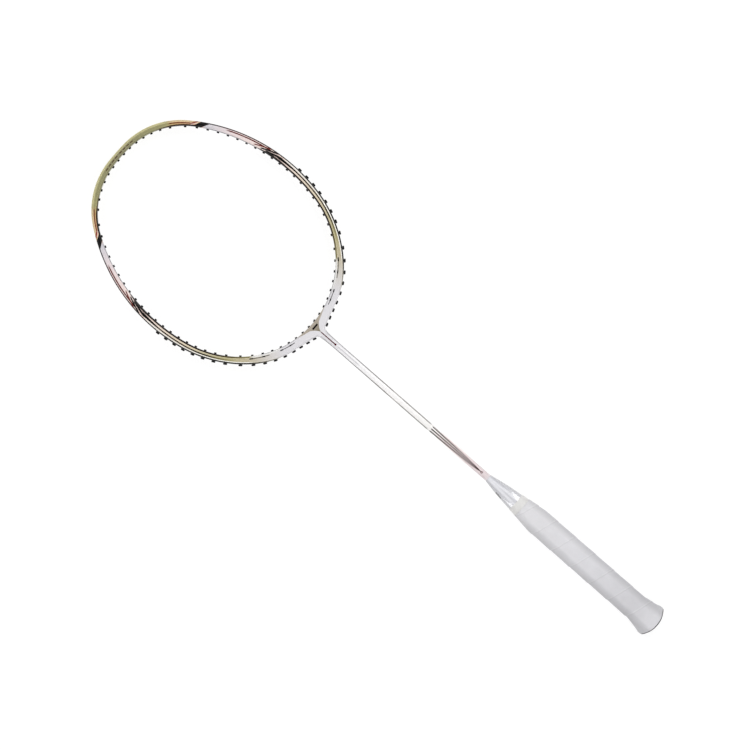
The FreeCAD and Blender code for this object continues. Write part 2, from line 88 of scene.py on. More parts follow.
MAIN_FIRST_X, MAIN_PITCH = 4.0, 7.93
THROAT_PAIRS, TIP_PAIRS, CROSS_PAIRS, PROUD_SIDE_PAIRS, FAN_PAIRS = 9, 7, 20, 8, 4
FAN_FIRST_ANGLE, FAN_ANGLE_STEP = 23.6, 1.9
CROSS_FIRST_Y, CROSS_LAST_Y = 471.35, 642.65
HOLE_RADIUS = 1.25
BARREL_RADIUS = 1.2
STRING_BORE = 0.7
BARREL_REACH = 1.3
PROUD_HEAD = (1.95, 1.6)
SUNK_HEAD = (1.5, 0.7)
THROAT_SEAT_LIFT = 0.15
SEAT_LIFT = 0.1

CONE_LINE = ((10.4, 150.0), (9.6, 168.0), (6.95, 192.0), (3.85, 209.5))
CONE_LIP = 0.7
CONE_WALL = 1.0
CONE_SLEEVE_DEPTH = 7.4
SHAFT_CLEARANCE = 0.05
BAND_LOW, BAND_HIGH, BAND_THICKNESS = 168.0, 176.0, 0.45

FLARE_END_Y = 26.0
GRIP_TOP_Y = 168.0
GRIP_SECTIONS = (
    (0.0, 32.6, 30.4), (5.5, 32.6, 30.4), (FLARE_END_Y, 25.5, 23.5), (149.0, 25.5, 23.5),
    (GRIP_TOP_Y, 20.9, 20.5),
)
OCTAGON_SHARE = 0.4142
GRIP_THICKNESS = 1.7
WRAP_PITCH = 23.4
WRAP_START_Y = 17.0
WRAP_STEP = 0.3
WRAP_EDGE_SHARE = 0.028
BUTT_RADIUS = 28.0
BUTT_CAP_THICKNESS = 0.8
BUTT_CAP_INSET = 0.35
PAD_RADIUS = 6.0
PAD_HEIGHT = 0.5

# -------- meshes


def add_object(name, data):
    made = bpy.data.objects.new(name, data)
    bpy.context.scene.collection.objects.link(made)
    return made


def make_piece(name, points, faces, sharp_degrees=35.0):
    """A piece from points in millimetres, smooth apart from edges sharper than the angle."""
    mesh = bpy.data.meshes.new(name)
    mesh.from_pydata((np.asarray(points, float) * MM).tolist(), [], faces)
    mesh.validate()
    edit = bmesh.new()
    edit.from_mesh(mesh)
    bmesh.ops.remove_doubles(edit, verts=edit.verts, dist=1e-6)
    bmesh.ops.recalc_face_normals(edit, faces=edit.faces)
    edit.to_mesh(mesh)
    edit.free()
    piece = add_object(name, mesh)
    smooth(piece, sharp_degrees)
    return piece


def smooth(piece, sharp_degrees):
    piece.data.shade_smooth()
    piece.data.set_sharp_from_angle(angle=math.radians(sharp_degrees))


def grid_faces(rows, columns, close_rows=False, first=0):
    """Quads of a grid of points stored row by row, closed round each row."""
    faces = []
    for row in range(rows if close_rows else rows - 1):
        after = (row + 1) % rows
        for column in range(columns):
            beside = (column + 1) % columns
            faces.append((first + row * columns + column, first + row * columns + beside,
                          first + after * columns + beside, first + after * columns + column))
    return faces


def ring(centre, axis, radius, steps, offset=0.0):
    """Points of a circle round an axis that lies flat."""
    across = np.array((0.0, 0.0, 1.0))
    third = np.cross(axis, across)
    turns = [2 * math.pi * (step + offset) / steps for step in range(steps)]
    return [centre + (across * math.cos(turn) + third * math.sin(turn)) * radius for turn in turns]


def lathe(name, profile, steps, origin=(0, 0, 0), axis=(0, 1, 0), mirror=False):
    """A piece turned from a closed outline of (radius, distance along its axis), or a mirrored pair."""
    points, faces = [], []
    for side in ((1, -1) if mirror else (1,)):
        flip = np.array((side, 1, 1), float)
        along = np.array(axis, float) * flip
        start = np.array(origin, float) * flip
        faces += grid_faces(len(profile), steps, close_rows=True, first=len(points))
        for radius, distance in profile:
            points += ring(start + along * distance, along, radius, steps)
    return make_piece(name, points, faces)


# -------- outlines of the head


def outward(heading):
    """Normal out of the head where an edge travels at this clockwise angle from +X."""
    return np.array((math.sin(heading), math.cos(heading)))


def arc_chain(arcs, start_y, closing=False):
    """Tangent arcs from the tip down the right side: (centre, radius, first heading, last heading)."""
    heading, point, chain = 0.0, np.array((0.0, start_y)), []
    for radius, degrees in arcs:
        centre = point - outward(heading) * radius
        chain.append((centre, radius, heading, heading + math.radians(degrees)))
        heading = chain[-1][3]
        point = centre + outward(heading) * radius
    if closing:
        radius = point[0] / math.sin(heading)
        chain.append((point - outward(heading) * radius, radius, heading, math.pi))
    return chain


INNER = arc_chain(INNER_ARCS, INNER_TOP, closing=True)
OUTER = arc_chain(OUTER_ARCS, OUTER_TOP)
HEEL_HEADING = OUTER[-1][3]
HEEL_END = OUTER[-1][0] + outward(HEEL_HEADING) * OUTER[-1][1]
FLANK_NORMAL = outward(HEEL_HEADING)
FLANK_SLOPE = HEEL_HEADING - math.pi / 2
APEX_Y = HEEL_END[1] - HEEL_END[0] / math.tan(FLANK_SLOPE)
FLARE_CENTRE = np.array((NECK_ROOT_RADIUS + FLARE_RADIUS,
                         APEX_Y + (NECK_ROOT_RADIUS + FLARE_RADIUS) / math.tan(FLANK_SLOPE)
                         - FLARE_RADIUS / math.sin(FLANK_SLOPE)))
FLARE_TOP_Y = FLARE_CENTRE[1] + FLARE_RADIUS * math.sin(FLANK_SLOPE)
INNER_LENGTH = sum(radius * (last - first) for _, radius, first, last in INNER)


def edge_place(chain, points):
    """Each point's distance outside an edge, and how far along the edge it lies, measured from the tip."""
    best = np.full(len(points), np.inf)
    distance = np.zeros(len(points))
    along = np.zeros(len(points))
    travelled = 0.0
    for centre, radius, first, last in chain:
        spoke = points - centre
        heading = np.clip(np.arctan2(spoke[:, 0], spoke[:, 1]), first, last)
        nearest = centre + radius * np.stack((np.sin(heading), np.cos(heading)), 1)
        gap = np.linalg.norm(points - nearest, axis=1)
        closer = gap < best - 1e-9
        best[closer] = gap[closer]
        distance[closer] = (np.linalg.norm(spoke, axis=1) - radius)[closer]
        along[closer] = (travelled + radius * (heading - first))[closer]
        travelled += radius * (last - first)
    return best, distance, along


def paint_place(points):
    """(distance round the inner edge from the throat, from the inner edge, from the outer edge) of points."""
    flat = np.stack((np.abs(points[:, 0]), points[:, 1]), 1)
    _, inside, along = edge_place(INNER, flat)
    gap, outside, _ = edge_place(OUTER, flat)
    on_flank = (flat - HEEL_END) @ np.array((math.cos(HEEL_HEADING), -math.sin(HEEL_HEADING)))
    flank = (flat - HEEL_END) @ FLANK_NORMAL
    outside = np.where((on_flank > 0) & (np.abs(flank) < gap), flank, outside)
    return np.stack((INNER_LENGTH - along, inside, -outside), 1)


def inner_point(distance):
    """Point on the inner edge and its heading, this far round from the throat."""
    left = INNER_LENGTH - distance
    for centre, radius, first, last in INNER:
        heading = first + left / radius
        if heading <= last + 1e-9:
            return centre + outward(heading) * radius, heading
        left -= radius * (last - first)
    return centre + outward(last) * radius, last


def wall_length(start, direction):
    """Distance from a point on the inner edge to the outer edge, along a direction."""
    for centre, radius, first, last in OUTER:
        to_centre = centre - start
        along = to_centre @ direction
        inside = radius ** 2 - to_centre @ to_centre + along ** 2
        if inside < 0:
            continue
        reach = along + math.sqrt(inside)
        spoke = start + direction * reach - centre
        if first <= math.atan2(spoke[0], spoke[1]) <= last:
            return reach
    return (HEEL_END - start) @ FLANK_NORMAL / (direction @ FLANK_NORMAL)


def half_width(y):
    """Half width of the neck and its flare at a height."""
    if y <= NECK_WAIST_Y:
        share = (y - NECK_END_Y) / (NECK_WAIST_Y - NECK_END_Y)
        return SHAFT_RADIUS + (NECK_WAIST_RADIUS - SHAFT_RADIUS) * share
    if y <= FLARE_CENTRE[1]:
        share = (y - NECK_WAIST_Y) / (FLARE_CENTRE[1] - NECK_WAIST_Y)
        return NECK_WAIST_RADIUS + (NECK_ROOT_RADIUS - NECK_WAIST_RADIUS) * share
    angle = math.asin(min(1.0, (y - FLARE_CENTRE[1]) / FLARE_RADIUS))
    return FLARE_CENTRE[0] - FLARE_RADIUS * math.cos(min(angle, FLANK_SLOPE))


def smoothstep(value, low, high):
    share = min(1.0, max(0.0, (value - low) / (high - low)))
    return share * share * (3 - 2 * share)


def neck_height(y):
    """Half height of the neck: round at its lower end, taller at its waist and rising to the throat."""
    if y < NECK_WAIST_Y:
        return half_width(y) + NECK_EXTRA_HEIGHT * (y - NECK_END_Y) / (NECK_WAIST_Y - NECK_END_Y)
    rise = math.sqrt((y - NECK_WAIST_Y) / (FLARE_TOP_Y - NECK_WAIST_Y))
    return NECK_WAIST_RADIUS + NECK_EXTRA_HEIGHT + NECK_ROOT_RISE * min(1.0, rise)


def neck_share(y):
    """1 where the section is the neck's oval, 0 where it is the moulding's rounded bar."""
    return 1.0 - smoothstep(y, NECK_WAIST_Y, FLARE_TOP_Y + 1.0)


def drop(distance):
    """How far the rounded edge lies below the flat face, this far in from the edge."""
    short = np.clip(EDGE_RADIUS - distance, 0.0, EDGE_RADIUS)
    return EDGE_RADIUS - np.sqrt(EDGE_RADIUS ** 2 - short ** 2)


# -------- head frame

FILLET_STEPS = 5
FLAT_STEPS = 6
RIB_SPACING = 1.2
FLANK_RIBS = (4.0, 46.0)
FAN_STEPS = 26
NECK_STEPS = 18


def rib(inner, outer, groove):
    """One closed section of the moulding, from the middle of its outer wall over the top and back below."""
    length = float(np.linalg.norm(inner - outer))
    direction = (inner - outer) / length
    share = neck_share(outer[1])
    turns = [math.pi / 2 * step / FILLET_STEPS for step in range(FILLET_STEPS + 1)]
    edge = min(EDGE_RADIUS, length / 2 - 0.01)
    near = [edge * (1 - math.cos(turn)) for turn in turns]
    middle = [edge + (length - 2 * edge) * step / FLAT_STEPS for step in range(1, FLAT_STEPS)]
    bar = np.array(near + middle + [length - gap for gap in near[::-1]])
    oval = length * (1 - np.cos(np.linspace(0, math.pi / 2, len(bar))))
    flat = outer + np.outer((1 - share) * bar + share * oval, direction)
    place = paint_place(flat)
    reach = np.linalg.norm(flat - outer, axis=1)
    in_neck = flat[:, 1] < FLARE_TOP_Y
    from_outer = np.where(in_neck | (outer[1] < FLARE_TOP_Y), reach, place[:, 2])
    top = HALF_HEIGHT - drop(place[:, 1]) - drop(from_outer)
    for index, (x, y) in enumerate(flat):
        blend = neck_share(y)
        if blend > 0:
            oval_top = neck_height(y) * math.sqrt(max(0.0, 1 - (x / half_width(y)) ** 2))
            top[index] = (1 - blend) * top[index] + blend * oval_top
    wall = top[0]
    foot = outer + direction * (GROOVE_DEPTH * groove)
    foot_z = wall * GROOVE_HALF_WIDTH / (HALF_HEIGHT - EDGE_RADIUS)
    rim_z = wall * (GROOVE_HALF_WIDTH + GROOVE_CHAMFER) / (HALF_HEIGHT - EDGE_RADIUS)
    upper = [(*foot, 0.0), (*foot, foot_z), (*outer, rim_z)]
    upper += [(x, y, z) for (x, y), z in zip(flat, top)]
    upper += [(*flat[-1], top[-1] / 2), (*flat[-1], 0.0)]
    return upper + [(x, y, -z) for x, y, z in upper[-2:0:-1]]


def square_foot(distance):
    """Point on the inner edge this far round from the throat, its heading and its foot on the outer edge."""
    point, heading = inner_point(distance)
    normal = outward(heading)
    return point, heading, point + normal * wall_length(point, normal)


def hoop_ribs():
    """Sections square to the inner edge, which lean towards the flare near the throat."""
    ribs = []
    nearest, farthest = FLANK_RIBS
    flare_foot, _, _ = fan_place(0)
    farthest_foot = square_foot(farthest)[2]
    count = int(round((INNER_LENGTH - nearest) / RIB_SPACING))
    for distance in np.linspace(INNER_LENGTH, nearest, count + 1):
        point, heading, foot = square_foot(distance)
        if distance < farthest:
            foot = flare_foot + (farthest_foot - flare_foot) * (distance - nearest) / (farthest - nearest)
            foot = foot + FLANK_NORMAL * float(-edge_gap(foot))
        groove = 1.0 - smoothstep(heading, GROOVE_LAST_HEADING - 0.01, GROOVE_LAST_HEADING + 0.01)
        ribs.append(rib(point, foot, groove))
    return ribs


def fan_place(step):
    """Foot on the flare's arc, direction inwards, and where that direction meets the racket's axis."""
    angle = FLANK_SLOPE * (1 - step / FAN_STEPS)
    inwards = np.array((-math.cos(angle), math.sin(angle)))
    foot = FLARE_CENTRE + FLARE_RADIUS * inwards
    return foot, inwards, foot[1] + foot[0] * math.tan(angle)


def fan_ribs():
    """Sections that fan round the flare, and end on the inner edge as long as it lies below them."""
    ribs = []
    corner = np.array((0.0, inner_point(0.0)[0][1]))
    for step in range(1, FAN_STEPS + 1):
        foot, inwards, axis_y = fan_place(step)
        if axis_y <= corner[1]:
            ribs.append(rib(np.array((0.0, axis_y)), foot, 0.0))
            continue
        ribs.append(rib(foot + inwards * to_inner_edge(foot, inwards), foot, 0.0))
        next_foot, _, next_axis_y = fan_place(step + 1)
        if next_axis_y <= corner[1]:
            ribs.append(rib(corner, (foot + next_foot) / 2, 0.0))
    return ribs


def neck_ribs():
    heights = np.linspace(FLARE_CENTRE[1], NECK_END_Y, NECK_STEPS)[1:]
    return [rib(np.array((0.0, y)), np.array((half_width(y), y)), 0.0) for y in heights]


def edge_gap(point):
    """Signed distance of one point outside the outer edge, heel arc or flank."""
    return -paint_place(np.array([point]))[0, 2]


def to_inner_edge(start, direction):
    """Distance from a point below the throat up to the inner edge."""
    centre, radius, _, _ = INNER[-1]
    to_centre = centre - start
    along = to_centre @ direction
    return along - math.sqrt(radius ** 2 - to_centre @ to_centre + along ** 2)


def grommet_places():
    """Every right-hand grommet: (CAD node, inner end on the wall, outward direction, seat, head size)."""
    places = []

    def add(name, point, direction, lift, proud):
        seat = wall_length(point, direction) + lift - (0.0 if proud else GROOVE_DEPTH)
        places.append((name, point, direction, seat, PROUD_HEAD if proud else SUNK_HEAD))

    for number in range(THROAT_PAIRS):
        point, heading = edge_at(0, MAIN_FIRST_X + MAIN_PITCH * number, low=True)
        lift = THROAT_SEAT_LIFT
        if number < FAN_PAIRS:
            heading = math.pi - math.radians(FAN_FIRST_ANGLE - FAN_ANGLE_STEP * number)
            lift = PROUD_HEAD[0] * math.tan(abs(heading - HEEL_HEADING))
        add(f"throat_grommet_pair_{number + 1}", point, outward(heading), lift, True)
    pitch = (CROSS_LAST_Y - CROSS_FIRST_Y) / (CROSS_PAIRS - 1)
    for number in range(CROSS_PAIRS):
        point, heading = edge_at(1, CROSS_FIRST_Y + pitch * number)
        add(f"side_grommet_pair_{number + 1}", point, outward(heading), SEAT_LIFT, number < PROUD_SIDE_PAIRS)
    for number in range(TIP_PAIRS):
        point, heading = edge_at(0, MAIN_FIRST_X + MAIN_PITCH * number)
        add(f"tip_grommet_pair_{number + 1}", point, outward(heading), SEAT_LIFT, False)
    return places


def edge_at(axis, value, low=False):
    """Point of the inner edge at this x (axis 0, tip side or low side) or this y (axis 1)."""
    for centre, radius, first, last in INNER:
        offset = (value - centre[axis]) / radius
        if abs(offset) > 1:
            continue
        heading = math.acos(offset) if axis else math.asin(offset)
        if low:
            heading = math.pi - heading
        if first <= heading <= last:
            return centre + outward(heading) * radius, heading
    raise ValueError(f"no inner edge at {value}")


def cutter(places):
    """One mesh of every string hole's drill and the stem's bore in the neck."""
    steps = 24
    points, faces = [], []

    def drill(start, direction, length, radius):
        first = len(points)
        for distance in (0.0, length):
            points.extend(ring(start + direction * distance, direction, radius, steps, offset=0.5))
        faces.extend(grid_faces(2, steps, first=first))
        faces.append(tuple(range(first, first + steps)))
        faces.append(tuple(range(first + steps, first + 2 * steps)))

    over = 3.0
    for _, point, direction, seat, _ in places:
        for side in (1, -1):
            start = np.array((side * (point - direction * over)[0], (point - direction * over)[1], 0.0))
            along = np.array((side * direction[0], direction[1], 0.0))
            drill(start, along, seat + GROOVE_DEPTH + 2 * over, HOLE_RADIUS)
    stem_start = np.array((0.0, NECK_END_Y - over, 0.0))
    drill(stem_start, np.array((0.0, 1.0, 0.0)), STEM_BORE_DEPTH + over, SHAFT_BORE)
    return make_piece("cutter", points, faces)


def frame_shell():
    """The whole moulding without its holes: the right half's sections, joined to their mirror image."""
    ribs = hoop_ribs() + fan_ribs() + neck_ribs()
    columns = len(ribs[0])
    half = np.array([point for section in ribs for point in section], float)
    faces = grid_faces(len(ribs), columns)
    on_axis = np.abs(half[:, 0]) < 1e-6
    faces = [face for face in faces if not all(on_axis[index] for index in face)]
    other = half * np.array((-1.0, 1.0, 1.0))
    faces += [tuple(index + len(half) for index in face[::-1]) for face in faces]
    mesh = bpy.data.meshes.new("head_frame_shell")
    mesh.from_pydata((np.concatenate((half, other)) * MM).tolist(), [], faces)
    edit = bmesh.new()
    edit.from_mesh(mesh)
    bmesh.ops.remove_doubles(edit, verts=edit.verts, dist=2e-6)
    bmesh.ops.dissolve_degenerate(edit, edges=edit.edges, dist=1e-7)
    rim = [edge for edge in edit.edges if edge.is_boundary]
    bmesh.ops.contextual_create(edit, geom=rim)
    bmesh.ops.recalc_face_normals(edit, faces=edit.faces)
    edit.to_mesh(mesh)
    edit.free()
    return add_object("head_frame_shell", mesh)


def head_frame(places):
    """The drilled moulding, with each point's place for the paint."""
    piece = frame_shell()
    tool = cutter(places)
    boolean = piece.modifiers.new("holes", "BOOLEAN")
    boolean.operation = "DIFFERENCE"
    boolean.solver = "MANIFOLD"
    boolean.object = tool
    graph = bpy.context.evaluated_depsgraph_get()
    cut = bpy.data.meshes.new_from_object(piece.evaluated_get(graph))
    piece.modifiers.clear()
    piece.data = cut
    bpy.data.objects.remove(tool)
    points = np.empty(len(cut.vertices) * 3)
    cut.vertices.foreach_get("co", points)
    paint = paint_place(points.reshape(-1, 3)[:, :2] / MM)
    attribute = cut.attributes.new("paint", "FLOAT_VECTOR", "POINT")
    attribute.data.foreach_set("vector", paint.astype(np.float32).ravel())
    smooth(piece, 32.0)
    return piece


# -------- grommets


def grommet_pair(place):
    """A bored barrel with a chamfered inner end and a domed head, and its twin."""
    name, point, direction, seat, (radius, height) = place
    profile = [
        (STRING_BORE, -BARREL_REACH + 0.12), (STRING_BORE + 0.1, -BARREL_REACH + 0.02),
        (STRING_BORE + 0.22, -BARREL_REACH), (BARREL_RADIUS - 0.16, -BARREL_REACH),
        (BARREL_RADIUS - 0.04, -BARREL_REACH + 0.06), (BARREL_RADIUS, -BARREL_REACH + 0.2),
        (BARREL_RADIUS, -BARREL_REACH / 2), (BARREL_RADIUS, seat - 0.02),
        (radius - 0.08, seat), (radius, seat + 0.08), (radius, seat + height * 0.45),
        (radius * 0.96, seat + height * 0.68), (radius * 0.86, seat + height * 0.86),
        (radius * 0.72, seat + height * 0.96), (radius * 0.58, seat + height),
        (STRING_BORE + 0.14, seat + height - 0.02), (STRING_BORE, seat + height - 0.16),
    ]
    return lathe(name.replace("grommet_pair", "grommets"), profile, 28, origin=(*point, 0.0),
                 axis=(*direction, 0.0), mirror=True)


# -------- shaft, cone and finishing tape


def shaft():
    rows = np.linspace(SHAFT_SEAT_Y, NECK_END_Y, 78)
    profile = [(SHAFT_RADIUS, y) for y in rows] + [(SHAFT_BORE, y) for y in (NECK_END_Y, SHAFT_SEAT_Y)]
    return lathe("shaft_tube", profile, 64)


def cone_radius(y):
    """Outer radius of the cone, a smooth curve through its four sizes."""
    radii = [radius for radius, _ in CONE_LINE]
    heights = [height for _, height in CONE_LINE]
    slopes = np.gradient(radii, heights)
    slopes[0], slopes[-1] = -0.02, -0.19
    for index in range(len(radii) - 1):
        low, high = heights[index], heights[index + 1]
        if low <= y <= high + 1e-9:
            span = high - low
            t = (y - low) / span
            place = 3 * t ** 2 - 2 * t ** 3
            bend = (t ** 3 - 2 * t ** 2 + t) * slopes[index] + (t ** 3 - t ** 2) * slopes[index + 1]
            return (1 - place) * radii[index] + place * radii[index + 1] + span * bend
    raise ValueError(f"the cone has no radius at y {y}")


def cone():
    bottom, top = CONE_LINE[0][1], CONE_LINE[-1][1]
    heights = np.linspace(bottom, top, 60)
    outside = [(cone_radius(y), y) for y in heights]
    lip = [(CONE_LINE[-1][0] - 0.03, top + 0.3), (CONE_LINE[-1][0] - 0.14, top + 0.55),
           (SHAFT_RADIUS + 0.12, top + CONE_LIP), (SHAFT_RADIUS + SHAFT_CLEARANCE, top + CONE_LIP - 0.1)]
    sleeve = [(SHAFT_RADIUS + SHAFT_CLEARANCE, top - CONE_SLEEVE_DEPTH)]
    inside = [(cone_radius(y) - CONE_WALL, y) for y in heights[::-4] if y < CONE_LINE[2][1]]
    return lathe("cone_sleeve", outside + lip + sleeve + inside, 96)


def finishing_tape():
    """A wound band on the cone whose upper and lower edges are softly rounded."""
    steps = 180
    lap_turn, lap_height = 4.2, 0.16
    shape = [(BAND_LOW, 0.0), (BAND_LOW, 0.7), (BAND_LOW + 0.2, 0.95)]
    shape += [(y, 1.0) for y in np.linspace(BAND_LOW + 0.5, BAND_HIGH - 0.5, 12)]
    shape += [(BAND_HIGH - 0.15, 0.9), (BAND_HIGH, 0.55), (BAND_HIGH, 0.0)]
    points = []
    for y, share in shape:
        for step in range(steps):
            turn = 2 * math.pi * step / steps
            radius = cone_radius(y) + 0.03 + BAND_THICKNESS * share
            if share:
                # The loose end of the tape lies over its start, at the back.
                past = (turn - lap_turn) % (2 * math.pi)
                radius += lap_height * smoothstep(past, 0.0, 0.035) * (1 - smoothstep(past, 0.5, 1.3))
            points.append((radius * math.cos(turn), y, radius * math.sin(turn)))
    return make_piece("finishing_tape_band", points, grid_faces(len(shape), steps, close_rows=True))


# -------- grip and butt


def grip_size(y):
    """Width and thickness of the grip at a height."""
    for (low, low_w, low_t), (high, high_w, high_t) in zip(GRIP_SECTIONS, GRIP_SECTIONS[1:]):
        if y <= high:
            share = (y - low) / (high - low)
            if high == FLARE_END_Y:
                # The flare is a straight slope that eases into the grip and into the butt.
                share = 0.82 * share + 0.18 * smoothstep(share, 0.0, 1.0)
            return low_w + (high_w - low_w) * share, low_t + (high_t - low_t) * share
    return GRIP_SECTIONS[-1][1:]


def soft_octagon(width, thickness, rounding, turn):
    """Radius of an octagon with rounded corners at an angle."""
    cos, sin = math.cos(turn), math.sin(turn)
    corner_cut = (1 - OCTAGON_SHARE) * min(width, thickness) / 2
    slanted = (abs(cos) + abs(sin)) / ((width + thickness) / 2 - corner_cut)
    sides = (abs(cos) / (width / 2), abs(sin) / (thickness / 2), slanted)
    return sum(side ** rounding for side in sides) ** (-1 / rounding)


def arch(x):
    """Rise of the curved butt end at this distance from the axis."""
    return BUTT_RADIUS - math.sqrt(BUTT_RADIUS ** 2 - min(abs(x), BUTT_RADIUS * 0.9) ** 2)


def wrap_relief(y, turn):
    """Height of the wound tape over its plain outline: a step at each lap's edge that thins out above it."""
    phase = (y - WRAP_PITCH * turn / (2 * math.pi) - WRAP_START_Y) / WRAP_PITCH
    phase -= math.floor(phase)
    dip = WRAP_STEP * 0.35
    if phase < WRAP_EDGE_SHARE:
        climb = phase / WRAP_EDGE_SHARE
        return WRAP_STEP * (0.5 - 0.5 * math.cos(math.pi * climb)) - dip * (1 - climb)
    fade = (phase - WRAP_EDGE_SHARE) / (1 - WRAP_EDGE_SHARE)
    return WRAP_STEP * (1 - fade) ** 2.2 - dip * fade ** 8


def grip():
    """The wound grip: rounded octagon sections with spiral laps, and an arched end over the butt."""
    steps = 224
    inset = PAD_HEIGHT + BUTT_CAP_THICKNESS
    heights = [*np.linspace(0.0, FLARE_END_Y, 80)[1:], *np.linspace(FLARE_END_Y, GRIP_TOP_Y, 400)[1:]]
    lift_top_y, squeeze_y = 14.0, 30.0

    def place(y, turn, shrink, relief_share):
        width, thickness = grip_size(y)
        radius = soft_octagon(width, thickness, 22.0, turn) - shrink
        if relief_share:
            fade = smoothstep(y, 3.0, 9.0)
            radius += (wrap_relief(y, turn) * fade - 0.12) * relief_share
        x, z = radius * math.cos(turn), radius * math.sin(turn)
        lift = (inset + arch(x)) * (1 - smoothstep(y, 0.0, lift_top_y))
        return x, y + lift * (1 - y / squeeze_y), z

    turns = [2 * math.pi * step / steps for step in range(steps)]
    rounding = 0.55
    rows = [(0.0, GRIP_THICKNESS + 0.3, 0.0), (0.0, rounding, 0.0), (0.06, rounding * 0.5, 1.0),
            (0.2, rounding * 0.14, 1.0)]
    rows += [(y, 0.0, 1.0) for y in heights]
    rows.append((GRIP_TOP_Y, 0.5, 0.5))
    points = [place(y, turn, shrink, relief) for y, shrink, relief in rows for turn in turns]
    return make_piece("grip_wrap", points, grid_faces(len(rows), steps), sharp_degrees=50.0)


def butt_cap():
    """The arched end plate with a rolled rim and a round flat pad in its middle."""
    steps = 160
    turns = [2 * math.pi * step / steps for step in range(steps)]
    width, thickness = GRIP_SECTIONS[0][1:]
    rows = []
    dish = 0.22

    def arched_row(radii, depth):
        flat = [(radius * math.cos(turn), radius * math.sin(turn)) for radius, turn in zip(radii, turns)]
        rows.append([(x, PAD_HEIGHT + depth + arch(x), z) for x, z in flat])

    rim = [soft_octagon(width, thickness, 20.0, turn) - BUTT_CAP_INSET - 0.12 for turn in turns]
    shape = [(0.995, BUTT_CAP_THICKNESS), (1.0, BUTT_CAP_THICKNESS * 0.8), (1.0, 0.3), (0.992, 0.1),
             (0.975, 0.0), (0.93, 0.0), (0.915, dish)]
    shape += [(scale, dish) for scale in np.linspace(0.9, 0.5, 10)]
    for scale, depth in shape:
        arched_row([radius * scale for radius in rim], depth)
    arched_row([PAD_RADIUS + 1.0] * steps, dish)
    arched_row([PAD_RADIUS + 0.25] * steps, 0.2)
    for radius, y in ((PAD_RADIUS, 0.12), (PAD_RADIUS - 0.12, 0.0), (PAD_RADIUS - 1.0, 0.0),
                      (PAD_RADIUS - 1.25, 0.18), (0.6, 0.18)):
        rows.append([(radius * math.cos(turn), y, radius * math.sin(turn)) for turn in turns])
    points = [point for made in rows for point in made]
    faces = grid_faces(len(rows), steps)
    faces.append(tuple(range(len(points) - steps, len(points))))
    return make_piece("butt_cap_plate", points, faces)


# -------- material helpers


def linear(colour):
    """Linear colour of three 8-bit sRGB values."""
    made = []
    for value in colour:
        share = value / 255
        made.append(share / 12.92 if share <= 0.04045 else ((share + 0.055) / 1.055) ** 2.4)
    return (*made, 1.0)


